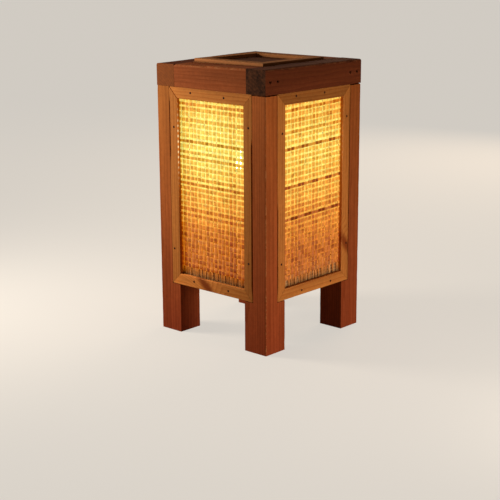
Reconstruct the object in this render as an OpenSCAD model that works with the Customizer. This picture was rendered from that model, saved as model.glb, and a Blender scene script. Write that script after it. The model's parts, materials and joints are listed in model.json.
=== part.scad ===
// A square wooden night light with woven bamboo panels and a lid that lifts out.
// Lengths are millimetres. Z points up, the feet stand on Z = 0, and the Z axis is the lamp's axis.
// The front looks along -Y. The other sides are the front in quarter turns about Z:
// 0 is the front, 1 the right side, 2 the back and 3 the left side.

/* [Body] */
// Width and depth over the outer faces of the posts
body_w = 136; // [124:1:170]
// Height from the feet to the top of the rails
body_h = 260; // [240:1:320]
// Side of a square post
post_w = 26; // [24:0.5:32]
// Rounding of a post's outer edges
post_arris = 1; // [0.5:0.1:2]

/* [Top rails] */
// Height of a top rail
rail_h = 22.5; // [18:0.5:30]
// Thickness of a top rail
rail_t = 23; // [20:0.5:26]
// Worn rounding of a top rail's upper outer edge
rail_arris = 2; // [1:0.1:3]

/* [Side panels] */
// Distance from the lamp's corner to the edge of a strip frame
panel_inset = 16; // [13:0.5:18]
// Height of a strip frame's lower edge above the floor
panel_foot = 48; // [30:1:70]
// Width of a frame strip
strip_w = 10.5; // [8.5:0.5:13]
// Thickness of a frame strip
strip_t = 3.2; // [2:0.2:4.4]
// Thickness of the battens behind the upper and lower strips
batten_t = 12; // [8:1:14]

/* [Woven mats] */
// Distance from one bamboo splint to the next
splint_pitch = 5; // [4:0.25:12]
// Open width between two splints
splint_gap = 1; // [0.6:0.1:2]
// Thickness of one splint
splint_t = 0.6; // [0.4:0.1:0.8]
// How far a mat reaches behind its strips
mat_lap = 8; // [4:0.5:8]

/* [Base] */
// Thickness of the base board
base_t = 9; // [6:0.5:14]
// Radius of a screw that holds the base board
base_screw_r = 1.5; // [1:0.25:2]
// Length of a base board screw
base_screw_len = 16; // [14:1:18]

/* [Lamp holder] */
// Radius of the holder's skirt round the bulb's cap
skirt_r = 13; // [12:0.5:18]
// Height of the holder's skirt
skirt_h = 38; // [32:1:46]
// Radius of the holder's lower half
holder_foot_r = 10.5; // [9.5:0.5:12]
// Height of the holder's lower half
holder_foot_h = 26; // [20:1:34]
// Wall of the holder
holder_wall = 2; // [1.5:0.25:2.5]
// Depth of the holder's well for the bulb's cap
well_depth = 26; // [24:0.5:28]
// Thickness of the brass sleeve in the well
sleeve_t = 0.5; // [0.3:0.1:0.8]
// Radius of the threaded tube through the base board
tube_r = 5; // [4.5:0.25:6]
// Radius of the tube's bore, where a lead comes in
tube_bore_r = 4; // [3:0.25:4]
// Thickness of a washer
washer_t = 1.5; // [1:0.25:2.5]
// Radius of a washer
washer_r = 11; // [10:0.5:16]
// Height of the lock nut
nut_h = 4; // [3:0.5:6]
// Distance across the flats of the lock nut
nut_flats = 14; // [14:0.5:18]

/* [Bulb] */
// Radius of the bulb's globe
globe_r = 22.5; // [20:0.5:28]
// Whole length of the bulb
bulb_len = 75; // [70:1:84]
// Wall of the bulb's glass
glass_t = 0.8; // [0.6:0.1:1.2]
// Radius of the bulb's threaded cap
cap_r = 6.9; // [6.5:0.1:7.5]
// Height of the bulb's threaded cap
cap_h = 21; // [19:0.5:22]
// Turns of the cap's thread
cap_turns = 5; // [3:1:6]
// Rise of the cap's thread for each turn
cap_pitch = 2.8; // [2:0.1:3]
// Height of the dark glass foot under the cap
cap_foot_h = 3; // [2:0.5:4]
// Radius of the bulb's tip contact
tip_r = 2; // [1.5:0.25:3]
// Height of the bulb's tip contact
tip_h = 1; // [0.6:0.1:1.5]

/* [Lid] */
// Thickness of the lid's board
lid_t = 6; // [4:0.5:9]
// Depth of the lid's board below the rails' tops
lid_drop = 1; // [0.2:0.1:2]
// Free space between the lid's board and the rails
lid_gap = 1; // [0.5:0.1:2]
// Edge of the lid's board outside its strips
lid_margin = 1; // [0.5:0.1:3]
// Side of the cleats that carry the lid
cleat_w = 8; // [5:0.5:9]

/* [Nails and brads] */
// Radius of a brad's shank
brad_r = 0.6; // [0.4:0.1:0.8]
// Radius of a brad's head
brad_head_r = 1; // [0.9:0.1:1.4]
// Length of a brad
brad_len = 12; // [8:1:14]
// Distance of a frame's upper and lower brads from its middle
brad_reach = 22; // [14:1:26]
// Distance of a frame's side brads from its middle height
brad_rise = 60.5; // [40:0.5:66]
// Radius of a rail nail's shank
nail_r = 1; // [0.7:0.1:1.3]
// Radius of a rail nail's head
nail_head_r = 1.5; // [1.4:0.1:2.2]
// Length of a rail nail
nail_len = 40; // [34:1:46]
// Distance between the two nails of a corner
nail_step = 10; // [6:0.5:12]
// Depth of a nail's or brad's head
head_t = 0.5; // [0.3:0.1:0.8]

/* [Fits] */
// Clearance between a strip frame and its rebate
frame_fit = 0.3; // [0.2:0.05:0.5]
// Clearance between the base board and what stands round it
base_fit = 0.3; // [0.2:0.05:0.6]
// Clearance between the bulb's cap and the sleeve
cap_fit = 0.3; // [0.25:0.05:0.5]
// Clearance between the sleeve and the holder's well
sleeve_fit = 0.1; // [0.05:0.05:0.2]

/* [Hidden] */
// Facets of a round part
$fn = 48;
// Facets of a nail or brad
PIN_FN = 16;
// Overshoot of a cut beyond the surface that it opens
CUT = 1;

SIDES = ["front", "right", "back", "left"];
// The corner between each side and the next one
CORNERS = ["front_right", "back_right", "back_left", "front_left"];
// The four strips of a frame, anticlockwise from the lower one as the frame is looked at
PLACES = ["bottom", "right", "top", "left"];
BOTTOM = 0;
TOP = 2;

half_w = body_w / 2;
post_h = body_h - rail_h;
// Side of the clear square inside the posts and inside the rails, from the middle
post_in = half_w - post_w;
rail_in = half_w - rail_t;
mat_t = 2 * splint_t;
rebate = strip_t + mat_t;

frame_hw = half_w - panel_inset;
opening_hw = frame_hw - strip_w;
opening_z0 = panel_foot + strip_w;
opening_z1 = post_h - strip_w;
frame_mid_z = (panel_foot + post_h) / 2;

mat_w = 2 * (opening_hw + mat_lap);
mat_h = opening_z1 - opening_z0 + 2 * mat_lap;
mat_z0 = opening_z0 - mat_lap;
mat_columns = round(mat_w / splint_pitch);
mat_rows = round(mat_h / splint_pitch);

base_z = opening_z0;
base_top = base_z + base_t;
base_screw_at = half_w - rebate - batten_t / 2;

holder_z = base_top + washer_t;
skirt_z = holder_z + holder_foot_h;
holder_top = skirt_z + skirt_h;
well_z = holder_top - well_depth;
sleeve_r = cap_r + cap_fit + sleeve_t;
well_r = sleeve_r + sleeve_fit;
contact_r = cap_r - 1.9;
contact_t = 1;
tube_z = base_z - washer_t - nut_h - 2;
tube_top = holder_z + holder_wall + 8;

tip_z = well_z + contact_t;
cap_z = tip_z + tip_h + cap_foot_h;
cap_top = cap_z + cap_h;
globe_z = tip_z + bulb_len - globe_r;
neck_r = cap_r + 0.7;
// The neck's hollow curve touches the globe and ends upright at the cap
neck_rise = globe_z - cap_top;
neck_curve = (neck_rise * neck_rise + neck_r * neck_r - globe_r * globe_r) / (2 * (globe_r - neck_r));

lid_top = body_h - lid_drop;
lid_hw = rail_in - lid_gap;
lid_frame_hw = lid_hw - lid_margin;
cleat_z = lid_top - lid_t - cleat_w;

// Turns a shape that is drawn on the front to side number s
module on_side(s) {
    rotate([0, 0, 90 * s]) children();
}

// Stands a flat outline, drawn as X and height, on the front at a depth under its face
module on_front(depth, t) {
    translate([0, depth + t - half_w, 0]) rotate([90, 0, 0]) linear_extrude(t) children();
}

// Lays a head at the origin with its shank running towards -Z
module pin(r, head_r, len) {
    translate([0, 0, -len]) cylinder(r = r, h = len, $fn = PIN_FN);
    translate([0, 0, -head_t]) cylinder(r = head_r, h = head_t, $fn = PIN_FN);
}

// A point for each end and both edges of strip number p in a mitred frame
function mitred(p, x0, x1, z0, z1, w) =
    let (
        outer = [[x0, z0], [x1, z0], [x1, z1], [x0, z1]],
        inner = [[x0 + w, z0 + w], [x1 - w, z0 + w], [x1 - w, z1 - w], [x0 + w, z1 - w]],
        q = (p + 1) % 4
    )
    [outer[p], outer[q], inner[q], inner[p]];

// The eight brads of one strip frame, two in each strip
module frame_brads() {
    mid = strip_w / 2;
    for (x = [-brad_reach, brad_reach], z = [panel_foot + mid, post_h - mid]) brad_at(x, z);
    for (x = [-frame_hw + mid, frame_hw - mid], z = [-brad_rise, brad_rise]) brad_at(x, frame_mid_z + z);
}

module brad_at(x, z) {
    translate([x, -half_w, z]) rotate([90, 0, 0]) pin(brad_r, brad_head_r, brad_len);
}

// Two nails at each end of the right and left rails, into the ends of the other two
module rail_pins() {
    for (s = [0, 2], end = [-1, 1], step = [-1, 1])
        on_side(s) translate([half_w, end * (half_w - rail_t / 2) + step * nail_step / 2, body_h - rail_h / 2])
            rotate([0, 90, 0]) pin(nail_r, nail_head_r, nail_len);
}

// The post of the front right corner, with a stopped rebate on each outer face
module post(c) {
    color("#8c4a2a") on_side(c) difference() {
        translate([half_w - post_w, -half_w, 0]) linear_extrude(post_h) post_section();
        post_rebate();
        mirrored_rebate();
        frame_brads();
        on_side(1) frame_brads();
    }
}

// A square with its outer corner rounded
module post_section() {
    difference() {
        square(post_w);
        translate([post_w - post_arris, -CUT]) square([post_arris + CUT, post_arris + CUT]);
    }
    translate([post_w - post_arris, post_arris]) circle(post_arris, $fn = 32);
}

module post_rebate() {
    translate([post_in - CUT, -half_w - CUT, panel_foot - frame_fit])
        cube([post_w - panel_inset + frame_fit + CUT, rebate + CUT, post_h - panel_foot + frame_fit + CUT]);
}

// The same rebate on the other outer face, across the corner's diagonal
module mirrored_rebate() {
    mirror([1, 1, 0]) post_rebate();
}

// Rails 1 and 3 run the whole depth. Rails 0 and 2 butt between them.
module top_rail(s) {
    full = s % 2 == 1;
    reach = full ? half_w : rail_in;
    color(full ? "#54281a" : "#7a4024") difference() {
        on_side(s) translate([-reach, 0, 0]) rotate([90, 0, 90]) linear_extrude(2 * reach) rail_section();
        rail_pins();
    }
}

// Section of a rail across its length, as depth and height, with its upper outer edge worn round
module rail_section() {
    translate([-half_w, post_h]) difference() {
        square([rail_t, rail_h]);
        translate([-CUT, rail_h - rail_arris]) square([rail_arris + CUT, rail_arris + CUT]);
    }
    translate([rail_arris - half_w, body_h - rail_arris]) circle(rail_arris, $fn = 32);
}

// A batten between two posts that backs the upper or lower strip
module batten(s, z) {
    color("#9a6236") on_side(s) difference() {
        translate([-post_in, rebate - half_w, z]) cube([2 * post_in, batten_t, strip_w]);
        frame_brads();
        if (z == panel_foot) base_screw_pins();
    }
}

module panel_strip(s, p) {
    color("#b9824b") on_side(s) difference() {
        on_front(0, strip_t) polygon(mitred(p, -frame_hw, frame_hw, panel_foot, post_h, strip_w));
        frame_brads();
    }
}

// Upright splints in front and level splints behind, fused where they cross
module woven_mat(s) {
    column = (mat_w + splint_gap) / mat_columns;
    row = (mat_h + splint_gap) / mat_rows;
    color("#d8a456") on_side(s) difference() {
        union() {
            for (i = [0:mat_columns - 1])
                translate([i * column - mat_w / 2, strip_t - half_w, mat_z0])
                    cube([column - splint_gap, splint_t, mat_h]);
            for (i = [0:mat_rows - 1])
                translate([-mat_w / 2, strip_t + splint_t - half_w, mat_z0 + i * row])
                    cube([mat_w, splint_t, row - splint_gap]);
        }
        frame_brads();
    }
}

module brads(s) {
    color("#2a1a10") on_side(s) frame_brads();
}

module rail_nails() {
    color("#241813") rail_pins();
}

// One screw near the middle of each edge of the base board, on the front here
module base_screw_pins() {
    translate([0, -base_screw_at, base_top]) pin(base_screw_r, 2 * base_screw_r, base_screw_len);
}

// A board with its corners cut away round the posts, on the lower battens
module base_board() {
    reach = half_w - rebate - base_fit;
    waist = post_in - base_fit;
    color("#a8713f") difference() {
        translate([0, 0, base_z]) linear_extrude(base_t) {
            square([2 * reach, 2 * waist], center = true);
            square([2 * waist, 2 * reach], center = true);
        }
        translate([0, 0, base_z - CUT]) cylinder(r = tube_r, h = base_t + 2 * CUT);
        for (s = [0:3]) on_side(s) base_screw_pins();
    }
}

module base_screws() {
    color("#8a8378") for (s = [0:3]) on_side(s) base_screw_pins();
}

module washer(z) {
    translate([0, 0, z]) difference() {
        cylinder(r = washer_r, h = washer_t);
        translate([0, 0, -CUT]) cylinder(r = tube_r, h = washer_t + 2 * CUT);
    }
}

// One washer under the holder and one under the base board
module tube_washers() {
    color("#9c9689") {
        washer(base_top);
        washer(base_z - washer_t);
    }
}

module threaded_tube() {
    color("#a59a7c") difference() {
        translate([0, 0, tube_z]) cylinder(r = tube_r, h = tube_top - tube_z);
        translate([0, 0, tube_z - CUT]) cylinder(r = tube_bore_r, h = tube_top - tube_z + 2 * CUT);
    }
}

module lock_nut() {
    z = base_z - washer_t - nut_h;
    color("#9c9689") difference() {
        translate([0, 0, z]) cylinder(r = nut_flats / 2 / cos(30), h = nut_h, $fn = 6);
        translate([0, 0, z - CUT]) cylinder(r = tube_r, h = nut_h + 2 * CUT);
    }
}

// A stepped cup with a well for the bulb's cap above and a hollow for the leads below
module holder_body() {
    inner = holder_foot_r - holder_wall;
    floor_z = well_z - holder_wall;
    lip = 1.2;
    color("#1d1a18") rotate_extrude() polygon([
        [tube_r, holder_z],
        [holder_foot_r, holder_z],
        [holder_foot_r, skirt_z - (skirt_r - holder_foot_r)],
        [skirt_r, skirt_z],
        [skirt_r, holder_top - lip],
        [skirt_r - lip, holder_top],
        [well_r, holder_top],
        [well_r, well_z],
        [tip_r, well_z],
        [tip_r, floor_z],
        [inner, floor_z],
        [inner, holder_z + holder_wall],
        [tube_r, holder_z + holder_wall]
    ]);
}

// The thin brass cup that takes the bulb's thread
module holder_sleeve() {
    rim = 2;
    color("#b58a3c") rotate_extrude() polygon([
        [contact_r + 0.6, well_z],
        [sleeve_r, well_z],
        [sleeve_r, holder_top - rim],
        [sleeve_r - sleeve_t, holder_top - rim],
        [sleeve_r - sleeve_t, well_z + sleeve_t],
        [contact_r + 0.6, well_z + sleeve_t]
    ]);
}

// The disc that touches the bulb's tip, with its rivet through the holder's floor
module holder_contact() {
    color("#c79a45") {
        translate([0, 0, well_z]) cylinder(r = contact_r, h = contact_t);
        translate([0, 0, well_z - 2 * holder_wall]) cylinder(r = tip_r, h = 2 * holder_wall);
    }
}

// Outline of the glass at one offset inside its outer face, from the crown down to the cap
function glass_outline(inset) =
    let (
        steps = 18,
        curve = neck_curve + inset,
        globe = globe_r - inset,
        meet = atan2(-neck_rise, neck_r + neck_curve)
    )
    concat(
        [for (i = [0:steps]) let (a = 90 + (meet - 90) * i / steps) [globe * cos(a), globe_z + globe * sin(a)]],
        [for (i = [1:steps / 3]) let (a = (180 + meet) + (-meet) * i / (steps / 3))
            [neck_r + neck_curve + curve * cos(a), cap_top + curve * sin(a)]]
    );

module bulb_glass() {
    outer = glass_outline(0);
    inner = glass_outline(glass_t);
    color("#f4e6c4") rotate_extrude() polygon(concat(outer, [for (i = [len(inner) - 1:-1:0]) inner[i]]));
}

// The cap's thread is drawn as round ridges, one for each turn
module bulb_cap() {
    ridge = 0.4;
    root = cap_r - ridge;
    color("#b9b3a4") {
        translate([0, 0, cap_z]) cylinder(r = root, h = cap_h);
        for (i = [1:cap_turns])
            translate([0, 0, cap_z + i * cap_pitch]) rotate_extrude() translate([root, 0]) ridge_section(ridge);
    }
}

// Half of a flat hexagon that leans on the cap's root
module ridge_section(ridge) {
    polygon([[-ridge, -2 * ridge], [0, -2 * ridge], [ridge, -ridge / 2], [ridge, ridge / 2], [0, 2 * ridge], [-ridge, 2 * ridge]]);
}

module bulb_foot() {
    color("#15120f") translate([0, 0, tip_z + tip_h]) cylinder(r1 = tip_r + 1, r2 = cap_r - 1, h = cap_foot_h);
}

module bulb_tip() {
    color("#bdb9ae") translate([0, 0, tip_z]) cylinder(r = tip_r, h = tip_h);
}

// A square bar along the inner face of each full-length rail, under the lid's edges
module lid_cleats() {
    color("#8a5530") for (x = [-rail_in, rail_in - cleat_w])
        translate([x, -rail_in, cleat_z]) cube([cleat_w, 2 * rail_in, cleat_w]);
}

// Brads that fix the lid's strips to its board, two in each strip
module lid_pins() {
    at = lid_frame_hw - strip_w / 2;
    for (s = [0:3], x = [-1, 1]) on_side(s)
        translate([x * at / 2, -at, lid_top + strip_t]) pin(brad_r, brad_head_r, strip_t + lid_t / 2);
}

module lid_board() {
    color("#7b4a2b") difference() {
        translate([-lid_hw, -lid_hw, lid_top - lid_t]) cube([2 * lid_hw, 2 * lid_hw, lid_t]);
        lid_pins();
    }
}

module lid_strip(p) {
    color("#9b6337") difference() {
        translate([0, 0, lid_top]) linear_extrude(strip_t)
            polygon(mitred(p, -lid_frame_hw, lid_frame_hw, -lid_frame_hw, lid_frame_hw, strip_w));
        lid_pins();
    }
}

module lid_brads() {
    color("#2a1a10") lid_pins();
}

for (i = [0:3]) {
    post(i);
    top_rail(i);
    batten(i, post_h - strip_w);
    batten(i, panel_foot);
    woven_mat(i);
    brads(i);
    lid_strip(i);
    for (p = [0:3])
        panel_strip(i, p);
}
rail_nails();
base_board();
base_screws();
tube_washers();
threaded_tube();
lock_nut();
holder_body();
holder_sleeve();
holder_contact();
bulb_glass();
bulb_cap();
bulb_foot();
bulb_tip();
lid_cleats();
lid_board();
lid_brads();
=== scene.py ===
# %% [markdown]
# # A square wooden night light with woven bamboo panels
#
# The lamp is four posts, a dark top frame, four strip frames that hold bamboo mats, a lid and a bulb.
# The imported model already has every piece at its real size. This script gives each piece its finish,
# eases the edges of the timber and weaves the bamboo, splint by splint. All places are in metres,
# with +Z up and the lamp's axis on Z.

# %% Load the lamp
import json
from math import cos, pi, radians, sin
from types import SimpleNamespace

import bmesh
import bpy
import numpy as np
from mathutils import Matrix, Vector, noise

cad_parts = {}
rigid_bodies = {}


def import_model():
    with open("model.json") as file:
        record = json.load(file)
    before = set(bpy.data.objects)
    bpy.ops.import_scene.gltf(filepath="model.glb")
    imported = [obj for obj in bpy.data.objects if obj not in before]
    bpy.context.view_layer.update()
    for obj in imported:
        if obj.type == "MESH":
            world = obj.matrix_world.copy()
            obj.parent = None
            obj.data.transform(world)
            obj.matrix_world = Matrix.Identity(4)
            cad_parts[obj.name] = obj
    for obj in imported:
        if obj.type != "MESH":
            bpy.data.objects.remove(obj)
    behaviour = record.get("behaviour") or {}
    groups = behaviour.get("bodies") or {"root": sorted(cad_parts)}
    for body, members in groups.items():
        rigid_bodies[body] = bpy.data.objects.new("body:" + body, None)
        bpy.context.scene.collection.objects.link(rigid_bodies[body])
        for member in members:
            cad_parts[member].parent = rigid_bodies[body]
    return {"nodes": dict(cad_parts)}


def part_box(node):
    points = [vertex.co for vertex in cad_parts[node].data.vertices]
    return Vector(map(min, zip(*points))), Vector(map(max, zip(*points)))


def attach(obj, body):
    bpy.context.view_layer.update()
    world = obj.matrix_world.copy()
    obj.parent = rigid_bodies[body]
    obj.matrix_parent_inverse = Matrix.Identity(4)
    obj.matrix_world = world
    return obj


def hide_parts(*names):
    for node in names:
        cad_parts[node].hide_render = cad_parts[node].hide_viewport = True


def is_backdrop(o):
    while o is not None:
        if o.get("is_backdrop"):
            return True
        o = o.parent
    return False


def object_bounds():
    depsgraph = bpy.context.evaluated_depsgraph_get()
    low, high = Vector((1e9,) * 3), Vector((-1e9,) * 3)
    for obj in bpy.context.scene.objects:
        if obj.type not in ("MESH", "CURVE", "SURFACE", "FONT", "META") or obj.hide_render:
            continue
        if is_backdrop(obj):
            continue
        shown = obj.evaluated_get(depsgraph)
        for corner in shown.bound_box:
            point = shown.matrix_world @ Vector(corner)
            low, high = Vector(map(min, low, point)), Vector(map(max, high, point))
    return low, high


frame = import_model()
cad_low, cad_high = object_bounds()
MM = 0.001
SIDES = ["front", "right", "back", "left"]
PLACES = ["bottom", "right", "top", "left"]
print("lamp in mm", [round(v / MM, 1) for v in cad_high - cad_low])

# %% [markdown]
# ## The camera
#
# The view stands 1.17 m away, turned 42 degrees to the right and a little above the lamp, with a long
# lens. Its place was fitted to the lamp's corners and seams. A camera looks along its own -Z, so its
# three axes are written as the columns of one matrix, which also holds the slight roll.

# %% Place the camera
VIEW_TURN, VIEW_RISE, VIEW_ROLL = radians(42.33), radians(14.26), radians(-0.32)
VIEW_DISTANCE = 1.1718
VIEW_TARGET = Vector((-0.00715, -0.00651, 0.07606))
SENSOR_MM = 36
# Focal length in widths of the picture
FOCAL_SHARE = 1201.9 / 500

backward = Vector((sin(VIEW_TURN) * cos(VIEW_RISE), -cos(VIEW_TURN) * cos(VIEW_RISE), sin(VIEW_RISE)))
level = Vector((cos(VIEW_TURN), sin(VIEW_TURN), 0))
upright = backward.cross(level)
rolled_x = cos(VIEW_ROLL) * level + sin(VIEW_ROLL) * upright
rolled_y = cos(VIEW_ROLL) * upright - sin(VIEW_ROLL) * level

lens = bpy.data.cameras.new("camera")
lens.sensor_width = SENSOR_MM
lens.lens = SENSOR_MM * FOCAL_SHARE
camera = bpy.data.objects.new("camera", lens)
camera.matrix_world = Matrix((rolled_x, rolled_y, backward)).transposed().to_4x4()
camera.location = VIEW_TARGET + backward * VIEW_DISTANCE
bpy.context.scene.collection.objects.link(camera)
bpy.context.scene.camera = camera
print("camera at", [round(v, 3) for v in camera.location], "lens", round(lens.lens, 1))

# %% [markdown]
# ## Two helpers for materials
#
# Colours are written as sRGB hex, because that is how a colour picker shows them, and turned to the
# linear values that the shader wants. Every node is added by one function: a setting that is named
# like a socket fills that socket, and any other sets a property of the node.

# %% Turn hex to linear and add a node
def paint(code):
    """Linear RGBA of an sRGB hex colour."""
    srgb = [int(code[i : i + 2], 16) / 255 for i in (1, 3, 5)]
    return [v / 12.92 if v <= 0.04045 else ((v + 0.055) / 1.055) ** 2.4 for v in srgb] + [1]


def add(tree, kind, settings=(), links=()):
    """One node of a material, with its settings and the sockets that feed it."""
    node = tree.nodes.new("ShaderNode" + kind)
    for name, value in dict(settings).items():
        if isinstance(name, int) or name in node.inputs:
            node.inputs[name].default_value = value
        else:
            setattr(node, name, value)
    for name, socket in dict(links).items():
        tree.links.new(socket, node.inputs[name])
    return node


def material(name):
    """A new material, its node tree and its surface socket."""
    made = bpy.data.materials.new(name)
    made.use_nodes = True
    made.node_tree.nodes.clear()
    output = add(made.node_tree, "OutputMaterial")
    return made, made.node_tree, output.inputs["Surface"]


# %% [markdown]
# ## Floor and light
#
# The lamp stands on a plain pale floor. A warm area light hangs close by at the left, a third of a
# metre from the nearest post, which is why the front face falls off towards its right. A lower one at
# the right lights that face most near the feet and leaves the lid's edges dark. A soft one behind is
# for the sides that don't show here, and a weak even sky does the rest. The floor is painted pale for
# the eye, and bounces less light than it shows, so that the inner faces of the legs stay deep.

# %% Build the floor
FLOOR_REACH = 30
FLOOR_SEEN, FLOOR_BOUNCE = "#efe9e0", "#7d6350"
FLOOR_EVEN = 0.78
SEEN_LEVEL = 0.92

mesh = bpy.data.meshes.new("floor")
corners = [(-1, -1), (1, -1), (1, 1), (-1, 1)]
mesh.from_pydata([(x * FLOOR_REACH, y * FLOOR_REACH, 0) for x, y in corners], [], [(0, 1, 2, 3)])
floor = bpy.data.objects.new("floor", mesh)
bpy.context.scene.collection.objects.link(floor)
floor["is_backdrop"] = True

# Matt wall paint, rolled on: one even pale tone without gloss
floor_paint, tree, surface = material("matt painted floor")
path = add(tree, "LightPath")
rays = [path.outputs[f"Is {kind} Ray"] for kind in ("Camera", "Glossy", "Transmission")]
eye = add(tree, "Math", {"operation": "MAXIMUM"}, {0: rays[0], 1: rays[1]})
eye = add(tree, "Math", {"operation": "MAXIMUM"}, {0: eye.outputs[0], 1: rays[2]})
lit = add(tree, "BsdfDiffuse", {"Color": paint(FLOOR_SEEN)})
even = add(tree, "Emission", {"Color": paint(FLOOR_SEEN), "Strength": SEEN_LEVEL})
pale = add(tree, "MixShader", {0: FLOOR_EVEN}, {1: lit.outputs[0], 2: even.outputs[0]})
bounce = add(tree, "BsdfDiffuse", {"Color": paint(FLOOR_BOUNCE)})
both = add(tree, "MixShader", links={0: eye.outputs[0], 1: bounce.outputs[0], 2: pale.outputs[0]})
tree.links.new(both.outputs[0], surface)
floor_paint.cycles.emission_sampling = "NONE"
floor.data.materials.append(floor_paint)

# %% Hang the lights
LAMP_CENTRE = Vector((0, 0, 0.14))


def soft_light(name, place, width, power, colour):
    """A square area light that faces the lamp and isn't seen itself."""
    data = bpy.data.lights.new(name, "AREA")
    data.shape = "SQUARE"
    data.size = width
    data.energy = power
    data.color = paint(colour)[:3]
    light = bpy.data.objects.new(name, data)
    light.location = place
    light.rotation_euler = (LAMP_CENTRE - Vector(place)).to_track_quat("-Z", "Y").to_euler()
    light.visible_camera = False
    bpy.context.scene.collection.objects.link(light)
    return light


soft_light("near left", (-0.37, -0.26, 0.31), 0.16, 2.9, "#fff3e4")
soft_light("low right", (0.47, 0.025, 0.045), 0.16, 1.62, "#ffeedd")
soft_light("behind", (-0.25, 1.1, 0.55), 0.6, 7, "#ffe4c4")

SKY_STRENGTH = 0.09
world = bpy.data.worlds.new("sky")
bpy.context.scene.world = world
world.use_nodes = True
world.node_tree.nodes.clear()
tree = world.node_tree
seen = add(tree, "LightPath").outputs["Is Camera Ray"]
even = add(tree, "Background", {"Color": paint("#ffe8cc"), "Strength": SKY_STRENGTH})
shown = add(tree, "Background", {"Color": paint(FLOOR_SEEN), "Strength": SEEN_LEVEL})
both = add(tree, "MixShader", links={0: seen, 1: even.outputs[0], 2: shown.outputs[0]})
add(tree, "OutputWorld", links={"Surface": both.outputs[0]})
bpy.context.scene.view_settings.view_transform = "Standard"

# %% [markdown]
# ## Grain
#
# Every board was cut from a log, so its grain is a slice through the same thing: rings round a pith
# that lies somewhere outside the board. The mesh carries that as an attribute, `grain`: for each
# vertex its place in the log, in millimetres, with the board's length along Z. Other attributes say
# which faces are end grain, which are eased edges, how high a point is, how dark its board is there and
# how far it is from a knot. A material can then draw one solid wood that is right on every face.

# %% Read, write and build meshes
def write(mesh, name, kind, domain, values):
    """Stores an array on a mesh as an attribute that a material can read."""
    field = {"FLOAT": "value", "FLOAT_VECTOR": "vector", "FLOAT_COLOR": "color"}[kind]
    attribute = mesh.attributes.new(name, kind, domain)
    attribute.data.foreach_set(field, np.asarray(values, np.float32).ravel())


def solid(points, faces):
    """A mesh from its points and faces, with every face turned outward."""
    mesh = bpy.data.meshes.new("piece")
    mesh.from_pydata(points, [], faces)
    form = bmesh.new()
    form.from_mesh(mesh)
    bmesh.ops.recalc_face_normals(form, faces=form.faces)
    form.to_mesh(mesh)
    form.free()
    return mesh


def read(mesh, items, field):
    """Reads a vector of every vertex or face as rows of three."""
    values = np.zeros(len(items) * 3)
    items.foreach_get(field, values)
    return values.reshape(-1, 3)


# %% Cut a board from its log
FAR_KNOT = (0, 0, 9000)
END_FACING = 0.9
# A face whose normal has no part above this is neither flat nor an end: it is a rounded edge
FLAT_FACING = 0.985


def cut_from_log(mesh, seed, along=None, tone=0.0, pith=(14, 46), knot=FAR_KNOT, slant=0.0,
                 knot_size=1.0):
    """Gives a board its place in the log: its own pith and its own stretch of the trunk.
    The knot is a place on the board in mm from its middle, with the board's length last, and
    slant is how much a knot that was cut along its branch leans across the board. A pair of tones
    runs from the board's lower or left end to its other end."""
    draw = np.random.default_rng(seed)
    spots = read(mesh, mesh.vertices, "co") / MM
    size = spots.max(0) - spots.min(0)
    along = int(size.argmax()) if along is None else along
    order = sorted((i for i in range(3) if i != along), key=lambda i: -size[i]) + [along]
    turn, reach = draw.uniform(0.15, 0.35) * pi, draw.uniform(*pith)
    offset = [reach * cos(turn), reach * sin(turn), draw.uniform(0, 900)]
    board = (spots - (spots.max(0) + spots.min(0)) / 2)[:, order]
    normals = np.abs(read(mesh, mesh.polygons, "normal"))
    write(mesh, "grain", "FLOAT_VECTOR", "POINT", board + offset)
    from_knot = board - np.array(knot)
    from_knot[:, 0] += slant * from_knot[:, 2]
    write(mesh, "knot", "FLOAT_VECTOR", "POINT", from_knot / knot_size)
    write(mesh, "height", "FLOAT", "POINT", spots[:, 2] * MM / cad_high.z)
    write(mesh, "end", "FLOAT", "FACE", normals[:, along] > END_FACING)
    write(mesh, "eased", "FLOAT", "FACE", normals.max(1) < FLAT_FACING)
    tones = np.broadcast_to(tone, 2)
    share = (spots[:, along] - spots[:, along].min()) / size[along]
    write(mesh, "tone", "FLOAT", "POINT", tones[0] + (tones[1] - tones[0]) * share)


# %% [markdown]
# ## One wood, many boards
#
# The wood is a softwood such as pine, sawn, sanded and wiped with a thin stain, with no varnish over it.
# Its rings are drawn by a wave that runs outward from the pith and wanders along the trunk. Early wood is
# pale and each ring ends in a thin darker line of late wood. On top lie fine fibres, much longer than
# they are wide, and slow patches where the stain went in deeper. End grain drinks more stain. Eased edges
# are rubbed paler. Where a branch grew, a knot turns the rings round itself. Towards the feet the colour
# is painted darker and redder: painted shade, where less light reaches them.

# %% Draw the inside of the log
# A wave texture of scale 1 repeats at this length
WAVE_PERIOD = 2 * pi / 20
PATCH_MM, MOTTLE_MM = 14, 4
KNOT_BEND_MM, KNOT_PUSH_MM = 14, 6
SOFT = {"interpolation_type": "SMOOTHSTEP"}


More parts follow.
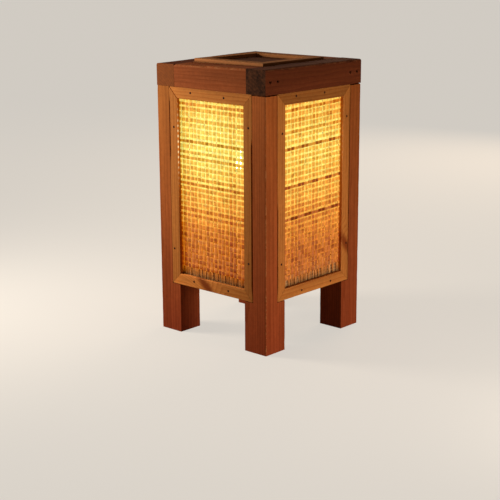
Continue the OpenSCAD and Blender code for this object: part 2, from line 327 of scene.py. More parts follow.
def inside_log(tree, ring_mm, fibre_mm):
    """What lies at each place in the log: lines, fibres, patches and mottles, all from 0 to 1, and the
    distance from the knot."""
    place = add(tree, "Attribute", {"attribute_name": "grain"}).outputs["Vector"]
    from_knot = add(tree, "Attribute", {"attribute_name": "knot"}).outputs["Vector"]
    oval = add(tree, "VectorMath", {"operation": "MULTIPLY", 1: (1, 0.6, 0.45)}, {0: from_knot})
    away = add(tree, "VectorMath", {"operation": "LENGTH"}, {0: oval.outputs[0]}).outputs["Value"]
    push = {"From Max": KNOT_BEND_MM, "To Min": KNOT_PUSH_MM, "To Max": 0}
    bend = add(tree, "MapRange", SOFT | push, {"Value": away})
    slow = add(tree, "VectorMath", {"operation": "MULTIPLY", 1: (1, 1, 0.1)}, {0: place})
    slow = add(tree, "VectorMath", {"operation": "ADD"}, {0: slow.outputs[0], 1: bend.outputs[0]}).outputs[0]
    rings = add(tree, "TexWave", {
        "wave_type": "RINGS", "rings_direction": "Z", "wave_profile": "SAW", "Scale": WAVE_PERIOD / ring_mm,
        "Distortion": 4, "Detail": 2, "Detail Scale": 1.3, "Detail Roughness": 0.5}, {"Vector": slow})
    line = add(tree, "Math", {"operation": "POWER", 1: 2}, {0: rings.outputs["Fac"]}).outputs[0]
    long = add(tree, "VectorMath", {"operation": "MULTIPLY", 1: (1, 1, 0.02)}, {0: place}).outputs[0]
    fibre = add(tree, "TexNoise", {"Scale": 1 / fibre_mm, "Detail": 3, "Roughness": 0.65}, {"Vector": long})
    patch = add(tree, "TexNoise", {"Scale": 1 / PATCH_MM, "Detail": 2}, {"Vector": slow})
    blots = {"Scale": 1 / MOTTLE_MM, "Detail": 5, "Roughness": 0.7}
    mottle = add(tree, "TexNoise", blots, {"Vector": place})
    fibre, patch, mottle = (texture.outputs["Fac"] for texture in (fibre, patch, mottle))
    return SimpleNamespace(place=place, away=away, line=line, fibre=fibre, patch=patch, mottle=mottle)


# %% Draw the stain
# A noise is mostly between these two values
SPAN = {"From Min": 0.3, "From Max": 0.7}
COLOURS = {"data_type": "RGBA"}
KNOT_CORE_MM, KNOT_RIM_MM = 1.2, 5.5
CLOUDS = 0.1


def stained(tree, log, early, late, knot, streaks, patches, foot):
    """Rings, fibres, patches and the board's own tone, painted shade that makes the foot darker and redder,
    and the dark of a knot.
    """
    colour = add(tree, "Mix", COLOURS | {6: paint(early), 7: paint(late)}, {0: log.line}).outputs[2]
    tone = add(tree, "Attribute", {"attribute_name": "tone"}).outputs["Fac"]
    depth = add(tree, "Math", {"operation": "ADD", 1: 1}, {0: tone}).outputs[0]
    for spread, pattern in ((streaks, log.fibre), (patches, log.patch), (CLOUDS, log.mottle)):
        ends = {"To Min": 1 + spread, "To Max": 1 - spread}
        share = add(tree, "MapRange", SPAN | ends, {"Value": pattern}).outputs[0]
        depth = add(tree, "Math", {"operation": "MULTIPLY"}, {0: depth, 1: share}).outputs[0]
    colour = add(tree, "VectorMath", {"operation": "SCALE"}, {0: colour, "Scale": depth}).outputs[0]
    # Painted shade: the colour is darkened and reddened towards the foot, by height
    height = add(tree, "Attribute", {"attribute_name": "height"}).outputs["Fac"]
    painted_foot_shade = add(tree, "Mix", COLOURS | {6: (*foot, 1), 7: (1, 1, 1, 1)}, {0: height}).outputs[2]
    colour = add(tree, "VectorMath", {"operation": "MULTIPLY"}, {0: colour, 1: painted_foot_shade}).outputs[0]
    core = {"From Min": KNOT_CORE_MM, "From Max": KNOT_RIM_MM, "To Min": 0.9, "To Max": 0}
    dark = add(tree, "MapRange", SOFT | core, {"Value": log.away}).outputs[0]
    return add(tree, "Mix", COLOURS | {7: paint(knot)}, {0: dark, 6: colour}).outputs[2]


# %% Draw end grain and rubbed edges
def ends_and_edges(tree, log, colour, end, worn, mottle_depth):
    """End grain soaks the stain up in blotches. Rounded edges are rubbed paler here and there."""
    blotch = {"To Min": 1 - mottle_depth, "To Max": 1 + mottle_depth}
    soak = add(tree, "MapRange", SPAN | blotch, {"Value": log.mottle}).outputs[0]
    butt = add(tree, "MapRange", {"To Min": 1.15, "To Max": 0.75}, {"Value": log.line}).outputs[0]
    butt = add(tree, "Math", {"operation": "MULTIPLY"}, {0: butt, 1: soak}).outputs[0]
    butt = add(tree, "VectorMath", {"operation": "SCALE", 0: paint(end)[:3]}, {"Scale": butt}).outputs[0]
    is_end = add(tree, "Attribute", {"attribute_name": "end"}).outputs["Fac"]
    colour = add(tree, "Mix", COLOURS, {0: is_end, 6: colour, 7: butt}).outputs[2]
    is_eased = add(tree, "Attribute", {"attribute_name": "eased"}).outputs["Fac"]
    rub = add(tree, "MapRange", {"From Min": 0.45, "From Max": 0.62}, {"Value": log.mottle}).outputs[0]
    rub = add(tree, "Math", {"operation": "MULTIPLY"}, {0: is_eased, 1: rub}).outputs[0]
    return add(tree, "Mix", COLOURS | {7: paint(worn)}, {0: rub, 6: colour}).outputs[2]


# %% Draw lamplight that leaks past a mat
LEAK_DOT_MM = 5


def leaked(tree, log):
    """A row of hot dots, because the light comes through the edge of the weave."""
    leak = add(tree, "Attribute", {"attribute_name": "leak"}).outputs["Fac"]
    dots = {"bands_direction": "Z", "Scale": WAVE_PERIOD / LEAK_DOT_MM, "Distortion": 3, "Detail Scale": 0.4}
    dots = add(tree, "TexWave", dots, {"Vector": log.place})
    dots = add(tree, "Math", {"operation": "POWER", 1: 2}, {0: dots.outputs["Fac"]}).outputs[0]
    hot = add(tree, "Math", {"operation": "MULTIPLY"}, {0: dots, 1: leak}).outputs[0]
    glint = add(tree, "Mix", COLOURS | {6: paint("#cf6c20"), 7: paint("#fff0b0")}, {0: hot}).outputs[2]
    return add(tree, "VectorMath", {"operation": "SCALE"}, {0: glint, "Scale": leak}).outputs[0]


# %% Put wood together
# Bare fibres scatter nearly all of the gloss that a smooth surface of their index would have
BARE_SHINE = 0.04


def wood(name, early, late, end, worn, ring_mm=2.6, fibre_mm=0.6, streaks=0.16, patches=0.14,
         mottle_depth=0.35, foot=(1, 1, 1), knot="#3d1a0c", rough=0.78):
    """Sawn softwood under a thin stain. Ring and fibre widths are in millimetres. Real fibres are some
    0.03 mm wide, too fine to show, so they are drawn in bundles."""
    made, tree, surface = material(name)
    log = inside_log(tree, ring_mm, fibre_mm)
    colour = stained(tree, log, early, late, knot, streaks, patches, foot)
    colour = ends_and_edges(tree, log, colour, end, worn, mottle_depth)
    relief = add(tree, "Math", {"operation": "MULTIPLY_ADD", 1: 0.35}, {0: log.line, 2: log.fibre})
    bump = add(tree, "Bump", {"Strength": 0.5, "Distance": 0.1 * MM}, {"Height": relief.outputs[0]})
    sheen = add(tree, "MapRange", {"To Min": rough - 0.08, "To Max": rough + 0.12}, {"Value": log.fibre})
    finish = add(tree, "BsdfPrincipled", {"Specular IOR Level": BARE_SHINE, "Emission Strength": 1}, {
        "Base Color": colour, "Roughness": sheen.outputs[0], "Normal": bump.outputs[0],
        "Emission Color": leaked(tree, log)})
    tree.links.new(finish.outputs[0], surface)
    made.cycles.emission_sampling = "NONE"
    return made


# %% Stain the boards
# Posts: a reddish wiped stain with straight quiet lines, painted much darker and redder at the feet as
# painted shade
RED_FOOT, ORANGE_FOOT = (0.72, 0.48, 0.7), (0.72, 0.38, 0.7)
POST_PINE = wood(
    "reddish stained pine", "#a85f2c", "#955022", "#6e3519", "#b97345", ring_mm=2.8, streaks=0.12,
    foot=RED_FOOT)
PALE_POST_PINE = wood(
    "faded stained pine", "#ae6b2f", "#9c5c26", "#6e3519", "#b97345", ring_mm=2.8, foot=ORANGE_FOOT)
# Top frame: walnut stain, dark and even. Its butts drank it unevenly, one of them nearly black
SIDE_RAIL_PINE = wood(
    "dark stained pine", "#67331b", "#5c2b17", "#462816", "#7d4a2c", ring_mm=3.0, mottle_depth=0.85)
LEFT_RAIL_PINE = wood(
    "dark stained pine, paler butt", "#69331c", "#5a2916", "#7c4521", "#7d4a2c", ring_mm=2.4,
    mottle_depth=0.15)
BUTT_RAIL_PINE = wood("brown stained pine", "#934e28", "#87441f", "#6b3a20", "#a5673f", ring_mm=3.2)
# Inner timber: sawn and left bare, pale and rough
BATTEN_PINE = wood("plain sawn pine", "#b98a58", "#95663a", "#8f6236", "#b98a58", ring_mm=3.0, rough=0.8)
# Strips: planed thin and oiled, a clear honey tone whose lines stay visible
STRIP_PINE = wood(
    "oiled honey pine", "#bf7a3b", "#ac652c", "#8a4f22", "#c4824a", streaks=0.12, knot="#7a3413")
# Lid: a brown stained board in a frame of lighter tan strips, rubbed by the hands that lift it
LID_PINE = wood("brown stained pine lid", "#6b3c22", "#55301b", "#4a2712", "#8d5a33", ring_mm=3.2)
LID_STRIP_PINE = wood(
    "tan stained pine", "#ab7043", "#945c32", "#5f381b", "#b07f50", ring_mm=2.4, mottle_depth=0.5)
print("woods", [m.name for m in bpy.data.materials if "pine" in m.name])

# %% [markdown]
# ## Timber
#
# A planed board never has a knife edge: the plane, the sandpaper and years of hands ease it. Each
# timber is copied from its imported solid, so its rebates and notches are kept. The copy's triangles are
# joined to whole faces again, its long edges are rounded, and short stations along its length let the
# rounding wander a little, as hand work does. Here and there a chip has broken out.

# %% Ease the edges of a board
TOP_RIM_MM = 3.0
SHORTEST_EASED_MM = 5
SHARP = radians(40)
CHIP_BELOW_TOP, RIM_BELOW_TOP, TOP_SLACK = 1.5 * MM, 1.2 * MM, 0.5 * MM
# Waves of wear per metre: slow ones, fine ones, and the roughness in a chip
SLOW_WEAR, FINE_WEAR, CHIP_WEAR = 90, 320, 700


def eased_copy(node, arris_mm, station_mm=4.0, wear_mm=0.25, chips=(), short_mm=0.0):
    """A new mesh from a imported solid, with rounded long edges that are worn unevenly. A chip is the
    middle, reach and depth in mm of a piece broken out of the upper edges. short_mm lowers the rim
    of the top, while its middle still touches what lies on it."""
    form = bmesh.new()
    form.from_mesh(frame["nodes"][node].data)
    bmesh.ops.remove_doubles(form, verts=form.verts, dist=1e-6)
    bmesh.ops.dissolve_limit(form, angle_limit=radians(1), verts=form.verts, edges=form.edges)
    sharp = [e for e in form.edges if len(e.link_faces) == 2 and e.calc_face_angle() > SHARP]
    long = [e for e in sharp if e.calc_length() > SHORTEST_EASED_MM * MM]
    round_off = {"segments": 2, "profile": 0.5, "affect": "EDGES", "clamp_overlap": True}
    bmesh.ops.bevel(form, geom=long, offset=arris_mm * MM, **round_off)
    low, high = (Vector(f(v.co[i] for v in form.verts) for i in range(3)) for f in (min, max))
    size = high - low
    along = max(range(3), key=lambda i: size[i])
    step = Vector([float(i == along) for i in range(3)])
    for k in range(1, int(size[along] / (station_mm * MM))):
        whole = list(form.verts) + list(form.edges) + list(form.faces)
        station = low + step * k * station_mm * MM
        bmesh.ops.bisect_plane(form, geom=whole, plane_co=station, plane_no=step, dist=1e-7)
    form.normal_update()
    axis = (low + high) / 2
    for vertex in form.verts:
        if not any(max(map(abs, f.normal)) < FLAT_FACING for f in vertex.link_faces):
            continue
        inward = axis - vertex.co
        inward[along] = 0
        deep = max(0.0, noise.noise(vertex.co * SLOW_WEAR))
        deep += 0.4 * max(0.0, noise.noise(vertex.co * FINE_WEAR))
        deep *= wear_mm
        for middle, reach, depth in chips:
            near = 1 - abs((vertex.co - axis)[along] / MM - middle) / reach
            if near > 0 and vertex.co.z > high.z - CHIP_BELOW_TOP:
                deep += depth * near * (0.6 + 0.8 * abs(noise.noise(vertex.co * CHIP_WEAR)))
        vertex.co += inward.normalized() * deep * MM
    if short_mm:
        level = high.z - TOP_SLACK
        tops = [f for f in form.faces if f.normal.z > END_FACING and f.calc_center_median().z > level]
        rim = {"thickness": TOP_RIM_MM * MM, "use_boundary": True, "use_even_offset": True}
        bmesh.ops.inset_region(form, faces=tops, **rim)
        middle = {v for f in tops for v in f.verts}
        for vertex in form.verts:
            if vertex.co.z > high.z - RIM_BELOW_TOP and vertex not in middle:
                vertex.co.z -= short_mm * MM
    mesh = bpy.data.meshes.new(node)
    form.to_mesh(mesh)
    form.free()
    return mesh


def stand_in(name, mesh, finish, body, slot, *nodes):
    """Places a new piece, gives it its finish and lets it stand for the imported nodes."""
    mesh.name = name
    mesh.materials.append(finish)
    piece = bpy.data.objects.new(name, mesh)
    bpy.context.scene.collection.objects.link(piece)
    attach(piece, body)
    if nodes:
        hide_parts(*nodes)
    return piece


def timber(node, finish, body, slot, arris_mm, seed, chips=(), short_mm=0.0, **log):
    """An eased board cut from its own log."""
    mesh = eased_copy(node, arris_mm, chips=chips, short_mm=short_mm)
    cut_from_log(mesh, seed, **log)
    return stand_in(node + "_timber", mesh, finish, body, slot, node)


# %% [markdown]
# ## Posts and rails
#
# The posts are a reddish softwood with straight lines. The tops of two of them stop a little short of
# the rails, which leaves a thin dark joint. The top frame is stained darker. Its left and right rails
# run the full depth, so that their end grain shows at the front: brown at the left corner and nearly
# black at the other one. Hands have worn the top down a little at the front left corner.

# %% Make the posts
POST_ARRIS_MM, RAIL_ARRIS_MM, BATTEN_ARRIS_MM = 0.6, 0.6, 0.4
POST_TONES = {"front_right": 0.08, "back_right": (-0.02, -0.26), "back_left": -0.05, "front_left": -0.02}
SHORT_POSTS = {"front_right": 1.0, "back_right": 1.0}
POST_KNOTS = {"back_left": (3, 0, 20), "back_right": (-5, 0, -70)}
for count, (corner, tone) in enumerate(POST_TONES.items()):
    node = f"post_{corner}"
    knot = POST_KNOTS.get(corner, FAR_KNOT)
    short = SHORT_POSTS.get(corner, 0.0)
    finish = PALE_POST_PINE if corner == "front_left" else POST_PINE
    look = {"short_mm": short, "tone": tone, "knot": knot}
    post = timber(node, finish, "frame", "post_wood", POST_ARRIS_MM, 10 + count, **look)
    print(post.name, "stands", round(max(v.co.z for v in post.data.vertices) / MM, 1), "mm high")

# %% Make the top frame and the battens
RAIL_FINISH = dict(zip(SIDES, (BUTT_RAIL_PINE, SIDE_RAIL_PINE, BUTT_RAIL_PINE, LEFT_RAIL_PINE)))
# Chips in a rail's upper edge: place along it from its middle, reach and depth, in mm
RAIL_CHIPS = {
    "front": [(-3, 9, 1.0), (24, 5, 0.5)],
    "right": [(-40, 12, 0.6), (8, 6, 0.5), (52, 7, 0.8)],
    "back": [(15, 8, 0.8)],
    "left": [(-30, 10, 0.9), (35, 7, 0.6)],
}
for count, side in enumerate(SIDES):
    rail, finish, chips = f"top_rail_{side}", RAIL_FINISH[side], RAIL_CHIPS[side]
    timber(rail, finish, "frame", "dark_rail_wood", RAIL_ARRIS_MM, 20 + count, chips=chips)
    for seed, tier in ((30, "upper"), (40, "lower")):
        node = f"{tier}_batten_{side}"
        timber(node, BATTEN_PINE, "frame", "batten_wood", BATTEN_ARRIS_MM, seed + count)

# %% Wear one corner down
WORN_CORNER = Vector(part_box("post_front_left")[0][:2])
WORN_MM, WORN_REACH, WORN_BELOW_TOP = 1.9, 75 * MM, 4.5 * MM
for side in SIDES:
    rail = bpy.data.objects[f"top_rail_{side}_timber"]
    for vertex in rail.data.vertices:
        if vertex.co.z > cad_high.z - WORN_BELOW_TOP:
            away = (vertex.co.xy - WORN_CORNER).length
            vertex.co.z -= WORN_MM * MM * np.exp(-((away / WORN_REACH) ** 2))

# %% [markdown]
# ## Strip frames
#
# Each mat is held by four thin strips with mitred corners, let in flush with the posts. A strip is a
# rounded outline drawn along the strip, whose ends lean at 45 degrees. The outline is swept in short
# steps, so that an edge can pull away from the post where the real one shows a dark gap. A little
# lamplight leaks past the mat on to the inner edges of the upright strips, so these carry a `leak`.

# %% Sweep a mitred strip
STRIP_ARRIS = 0.45 * MM
STRIP_STATIONS = 40
MITRE_GAP = 0.15 * MM
GAP_RAMP = 0.05
# Where lamplight leaks past the mat on to a strip, and how much of it
LEAK_CENTRE, LEAK_REACH = 184 * MM, 32 * MM
LEAK_SHARE, LEAK_ELSEWHERE = {"front_strip_left": 1.4}, 0.4
# It is gone at this share of the way from the strip's face down to the mat
LEAK_DEPTH = 1 / 1.7


def mitred_strip(node, gap_mm=0.0, gap_from=0.0, gap_to=1.0, open_mm=(0.0, 0.0)):
    """A strip with mitred ends from its packed box. gap_mm is how far its outer edge draws back
    between two shares of its length, counted from below or from the left. open_mm is how far its
    mitres stand open at its start and its end."""
    low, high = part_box(node)
    size = high - low
    along = max(range(3), key=lambda i: size[i])
    thick = min(range(3), key=lambda i: size[i])
    across = 3 - along - thick
    side = node.split("_strip_")[0]
    middle = (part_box(side + "_strip_bottom")[0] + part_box(side + "_strip_top")[1]) / 2
    beyond = high[across] + low[across] >= 2 * middle[across]
    outer, sign = (high[across], 1) if beyond else (low[across], -1)
    wide, t, a = size[across], size[thick], STRIP_ARRIS
    outline = [(0, a), (a * 0.3, a * 0.3), (a, 0), (wide - a, 0), (wide - a * 0.3, a * 0.3), (wide, a)]
    outline += [(wide, t / 2)] + [(w, t - d) for w, d in reversed(outline)]
    face = low[thick] if abs(low[thick]) > abs(high[thick]) else high[thick]
    points, faces, leak = [], [], []
    for k in range(STRIP_STATIONS + 1):
        share = k / STRIP_STATIONS
        inside = max(0.0, min(1.0, (share - gap_from) / GAP_RAMP, (gap_to - share) / GAP_RAMP))
        end_gap = (MITRE_GAP + open_mm[0] * MM) * (k == 0)
        end_gap -= (MITRE_GAP + open_mm[1] * MM) * (k == STRIP_STATIONS)
        for width, depth in outline:
            drift = gap_mm * MM * inside * (1 - width / wide)
            spot = Vector()
            spot[along] = low[along] + width + share * (size[along] - 2 * width) + end_gap
            spot[across] = outer - sign * (width + drift)
            spot[thick] = low[thick] + depth
            points.append(spot)
            on_edge = along == 2 and width > wide - a / 2
            buried = abs(spot[thick] - face) / t
            shine = LEAK_SHARE.get(node, LEAK_ELSEWHERE) * max(0, 1 - buried / LEAK_DEPTH)
            shine *= np.exp(-(((spot.z - LEAK_CENTRE) / LEAK_REACH) ** 2))
            leak.append(shine if on_edge else 0)
    ring = len(outline)
    for k in range(STRIP_STATIONS):
        for j in range(ring):
            i = (j + 1) % ring
            faces.append((k * ring + j, k * ring + i, (k + 1) * ring + i, (k + 1) * ring + j))
    faces += [tuple(range(ring)), tuple(range(len(points) - ring, len(points)))]
    mesh = solid(points, faces)
    write(mesh, "leak", "FLOAT", "POINT", leak)
    return mesh


# %% Make the four strip frames
# Where an outer edge stands off from its post: how far in mm, and from and to which share of its
# length. A last pair tells how far the mitres stand open, in mm
STAND_OFF = {
    "front_strip_right": (1.2, 0.02, 0.8),
    "front_strip_left": (0.8, 0.62, 0.96, (0, 0.3)),
    "front_strip_top": (0, 0, 1, (0.35, 0)),
    "right_strip_left": (0.8, 0.02, 0.5),
    "right_strip_right": (0.5, 0.1, 0.95),
    "back_strip_left": (1.1, 0.1, 0.6),
    "left_strip_right": (1.2, 0.3, 0.95),
}
STRIP_TONES = {
    "front_strip_bottom": (0.55, -0.06), "front_strip_right": -0.18, "front_strip_top": 0.06,
    "front_strip_left": -0.1, "right_strip_right": -0.1, "right_strip_top": -0.35,
    "right_strip_left": -0.05, "back_strip_left": -0.15, "left_strip_bottom": -0.2,
}
STRIP_KNOTS = {
    "front_strip_bottom": (0, 0, -8), "right_strip_right": (1, 0, -58), "back_strip_right": (-1, 0, 30),
}
STRIP_CUT = {"pith": (20, 60), "slant": 0.6, "knot_size": 1.5}
for side_count, side in enumerate(SIDES):
    for place_count, place in enumerate(PLACES):
        node = f"{side}_strip_{place}"
        mesh = mitred_strip(node, *STAND_OFF.get(node, ()))
        seed = 100 + 10 * side_count + place_count
        tone, knot = STRIP_TONES.get(node, 0), STRIP_KNOTS.get(node, FAR_KNOT)
        cut_from_log(mesh, seed, tone=tone, knot=knot, **STRIP_CUT)
        stand_in(node + "_mitred", mesh, STRIP_PINE, "frame", "strip_pine", node)

# %% [markdown]
# ## Brads and nails
#
# The brads are thin headed nails, blued once and rusty now. They were driven by eye, so each stands a
# little off its mark and leans. A head is a short turned outline, sunk until only its crown shows.

# %% Turn a nail
NAIL_FACETS = 12
NAIL_LEAN = 0.07
# Outline of a head and its neck: radius as a share of the head's, and height in mm
NAIL_HEAD = [(0.0, 0.16), (0.45, 0.14), (0.85, 0.04), (1.0, -0.1), (1.0, -0.35), (0.5, -0.5)]


def nails(places, head_mm, length_mm, seed):
    """One mesh of nails. A place is the head's centre and the direction it looks in."""
    draw = np.random.default_rng(seed)
    outline = NAIL_HEAD + [(0.45, -length_mm)]
    points, faces = [], []
    for centre, outward in places:
        lean = Vector(draw.normal(0, NAIL_LEAN, 3))
        axis = (Vector(outward) + lean).normalized()
        side = axis.orthogonal().normalized()
        other = axis.cross(side)
        start = len(points)
        for radius, rise in outline[1:]:
            for k in range(NAIL_FACETS):
                turn = 2 * pi * k / NAIL_FACETS
                spoke = side * cos(turn) + other * sin(turn)
                points.append(Vector(centre) + (spoke * radius * head_mm + axis * rise) * MM)
        points.append(Vector(centre) + axis * outline[0][1] * MM)
        rings = len(outline) - 1
        for k in range(NAIL_FACETS):
            j = (k + 1) % NAIL_FACETS
            faces.append((start + k, start + j, len(points) - 1))
            for r in range(rings - 1):
                a = start + r * NAIL_FACETS
                faces.append((a + k, a + NAIL_FACETS + k, a + NAIL_FACETS + j, a + j))
        faces.append([start + (rings - 1) * NAIL_FACETS + k for k in range(NAIL_FACETS)])
    return solid(points, faces)


RUST_MM = 0.5


def blued_steel():
    """Wire nails, blued in the heat and rusted since: the rust hides the metal, so the heads are matt
    brown-black dots with a rough skin."""
    made, tree, surface = material("rusty blued steel")
    place = add(tree, "TexCoord").outputs["Object"]
    rust = add(tree, "TexNoise", {"Scale": 1 / RUST_MM / MM, "Detail": 3}, {"Vector": place}).outputs["Fac"]
    colour = add(tree, "Mix", COLOURS | {6: paint("#1c0e08"), 7: paint("#4a2210")}, {0: rust}).outputs[2]
    bump = add(tree, "Bump", {"Strength": 0.3, "Distance": 0.05 * MM}, {"Height": rust}).outputs[0]
    finish = add(tree, "BsdfPrincipled", {"Roughness": 0.8, "Specular IOR Level": 0.1},
                 {"Base Color": colour, "Normal": bump})
    tree.links.new(finish.outputs[0], surface)
    return made


BLUED = blued_steel()

# %% Drive the brads and the nails
# Places of the brads on a side in mm: along the side from its middle, and height
BRADS = {
    "front": [(-24.1, 233.2), (17.9, 232.0), (-46.6, 199.9), (-49.0, 82.4),
              (47.5, 207.8), (46.9, 83.8), (-23.3, 54.0), (21.2, 53.2)],
    "right": [(-26.6, 233.8), (13.7, 233.4), (-45.6, 202.2), (-46.6, 82.7),
              (47.0, 208.0), (48.9, 85.0), (-17.6, 52.3), (25.1, 52.0)],
    "back": [(-22.8, 232.6), (20.6, 233.1), (-47.2, 204.0), (-46.1, 81.2),
             (46.3, 201.6), (47.6, 84.0), (-20.4, 53.4), (23.7, 52.6)],
    "left": [(-20.9, 232.1), (24.2, 233.0), (-46.0, 205.1), (-47.5, 80.6),
             (47.1, 202.2), (45.9, 81.7), (-24.0, 52.9), (19.8, 53.7)],
}
# The same for the rail nails, with how far a head lies below the wood's face
RAIL_NAILS = {
    "right": [(48.3, 247.6, 0.3), (59.1, 249.5, 0.3), (-63.0, 249.8, 0.43), (-52.9, 251.5, 0.43)],
    "left": [(-50.2, 249.6, 0.3), (-60.8, 247.9, 0.3), (53.1, 250.3, 0.3), (62.2, 248.8, 0.3)],
}


def on_side(side, sideways, out, up):
    """A point in mm on a side, as seen from outside it, in metres of the lamp."""
    turn = SIDES.index(side) * pi / 2
    x, y = sideways * cos(turn) + out * sin(turn), sideways * sin(turn) - out * cos(turn)
    return Vector((x, y, up)) * MM


FACE_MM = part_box("post_front_right")[1].x / MM
BRAD_HEAD_MM, BRAD_LENGTH_MM, BRAD_PROUD_MM = 1.15, 7, 0.1
RAIL_NAIL_HEAD_MM, RAIL_NAIL_LENGTH_MM = 1.25, 20
for count, side in enumerate(SIDES):
    outward = on_side(side, 0, 1, 0).normalized()
    places = [(on_side(side, x, FACE_MM + BRAD_PROUD_MM, z), outward) for x, z in BRADS[side]]
    brads = nails(places, BRAD_HEAD_MM, BRAD_LENGTH_MM, 200 + count)
    stand_in(f"{side}_driven_brads", brads, BLUED, "frame", "blued_steel", f"{side}_brads")
rail_places = []
for side, marks in RAIL_NAILS.items():
    outward = on_side(side, 0, 1, 0).normalized()
    rail_places += [(on_side(side, x, FACE_MM - sunk, z), outward) for x, z, sunk in marks]
mesh = nails(rail_places, RAIL_NAIL_HEAD_MM, RAIL_NAIL_LENGTH_MM, 210)
stand_in("driven_rail_nails", mesh, BLUED, "frame", "blued_steel", "rail_nails")
print("brads on a side", len(BRADS["front"]), "rail nails", len(rail_places))

# %% [markdown]
# ## The lid
#
# The lid is a brown board that lies in the top frame, with its own frame of mitred strips on top. The
# board that carries the bulb holder is plywood, which stays flat over so short a span.

# %% Draw plywood
PLY_MM, VENEER_FIBRE_MM = 1.5, 1.5


def plywood():
    """Birch plywood of peeled veneers, sanded and left bare: a broad wandering figure on the face, and
    plies that show on the edges as alternating bands."""
    made, tree, surface = material("birch plywood")
    place = add(tree, "Attribute", {"attribute_name": "grain"}).outputs["Vector"]
    bands = {"bands_direction": "Y", "wave_profile": "SIN", "Scale": WAVE_PERIOD / PLY_MM / 2}
    plies = add(tree, "TexWave", bands, {"Vector": place})
    long = add(tree, "VectorMath", {"operation": "MULTIPLY", 1: (1, 1, 0.04)}, {0: place}).outputs[0]
    figure = {"Scale": 1 / VENEER_FIBRE_MM, "Detail": 4, "Distortion": 0.6}
    fibre = add(tree, "TexNoise", figure, {"Vector": long}).outputs["Fac"]
    face = add(tree, "Mix", COLOURS | {6: paint("#c49a68"), 7: paint("#8f6238")}, {0: fibre}).outputs[2]
    bands = add(tree, "MapRange", {"To Min": 0.7, "To Max": 1.1}, {"Value": plies.outputs["Fac"]}).outputs[0]
    face = add(tree, "VectorMath", {"operation": "SCALE"}, {0: face, "Scale": bands}).outputs[0]
    bump = add(tree, "Bump", {"Strength": 0.3, "Distance": 0.1 * MM}, {"Height": fibre}).outputs[0]
    finish = add(tree, "BsdfPrincipled", {"Roughness": 0.7, "Specular IOR Level": 0.2},
                 {"Base Color": face, "Normal": bump})
    tree.links.new(finish.outputs[0], surface)
    return made


PLYWOOD = plywood()

# %% Make the lid and the boards inside
LID_ARRIS_MM, INNER_ARRIS_MM = 0.5, 0.3
timber("lid_board", LID_PINE, "lid", "lid_wood", LID_ARRIS_MM, seed=50, along=0)
timber("lid_cleats", BATTEN_PINE, "frame", "batten_wood", INNER_ARRIS_MM, seed=51)
timber("base_board", PLYWOOD, "frame", "plywood", INNER_ARRIS_MM, seed=52, along=0)
for count, place in enumerate(PLACES):
    node = f"lid_strip_{place}"
    mesh = mitred_strip(node)
    cut_from_log(mesh, 60 + count, pith=STRIP_CUT["pith"])
    stand_in(node + "_mitred", mesh, LID_STRIP_PINE, "lid", "lid_strip_wood", node)

# %% [markdown]
# ## Weaving the bamboo
#
# Bamboo is split into thin flat splints and woven as a twill: each upright goes over two level splints
# and under two, and the next upright starts one row later, so the pattern climbs in diagonals. Real
# splints differ in width, spacing and colour. Each one here is a thin ribbon with a crowned face that
# rises and dips at its crossings, and swells a little between them, as fibres do where nothing presses
# on them. Every ribbon also carries how much of the bulb's light reaches the eye through it: one layer
# of bamboo lets a lot through, two layers much less. Over the bottom strip the lowest level splints have
# come out, and each upright ends there in a fringe of thin strands, some of them broken off.

# %% Set out the splints
PITCH = 4.95 * MM
COLUMN_WIDTH, ROW_WIDTH = 4.4 * MM, 3.95 * MM
SPLINT_THICK = 0.34 * MM
LIFT = 0.2 * MM
TWILL = 4
mat_low, mat_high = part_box("front_woven_mat")
MAT_MIDDLE_Y = (mat_low.y + mat_high.y) / 2
FIRST_COLUMN = -47.0 * MM
columns = int((mat_high.x - FIRST_COLUMN) / PITCH) + 1
rows = round((mat_high.z - mat_low.z) / PITCH)
print("splints in a mat", columns, "upright and", rows, "level")

# %% [markdown]
# ## The glow
#
# The light through the bamboo falls off with the square of the distance. It is strongest a little above
# the bulb, because the holder shades what is below and the lid throws light back. A little creeps down
# between the mat and the edge of the base board. As warm light grows stronger it turns from orange to
# yellow, because its red is the first to reach its limit. Each layer of bamboo takes its share, most
# of all from the blue. What the bamboo reflects is taken off, so that the two together are right.

# %% Work out the light through the bamboo
BOARD_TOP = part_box("base_board")[1].z
GLOW_CENTRE, GLOW_REACH = 188 * MM, 57 * MM
GLOW_STRENGTH, GLOW_STRAY = 9.2, 0.45
WARMTH = np.array([1.0, 0.22, 0.025])
RED_LIMIT = 4.6
LAYER_PASSES = np.array([0.42, 0.335, 0.29])
REFLECTED = np.array([0.16, 0.06, 0.018])
# The mat is brightest a little left of its middle, and dims towards its sides from here upward
SIDE_LOSS, BRIGHT_AT, HALF_OPENING = 0.2, -3 * MM, 33 * MM
DIM_SIDES_FROM, DIM_SIDES_TO = 100 * MM, 160 * MM
# Low down it dims from left to right, up to here
SLANT_TO = 150 * MM
# The edge of the board shades what is beside it, between these depths below its top
SHADE_FROM, SHADE_TO = 10.5 * MM, 3.5 * MM


def smooth(value, start, end):
    """Rises softly from 0 at start to 1 at end."""
    share = np.clip((value - start) / (end - start), 0, 1)
    return share * share * (3 - 2 * share)


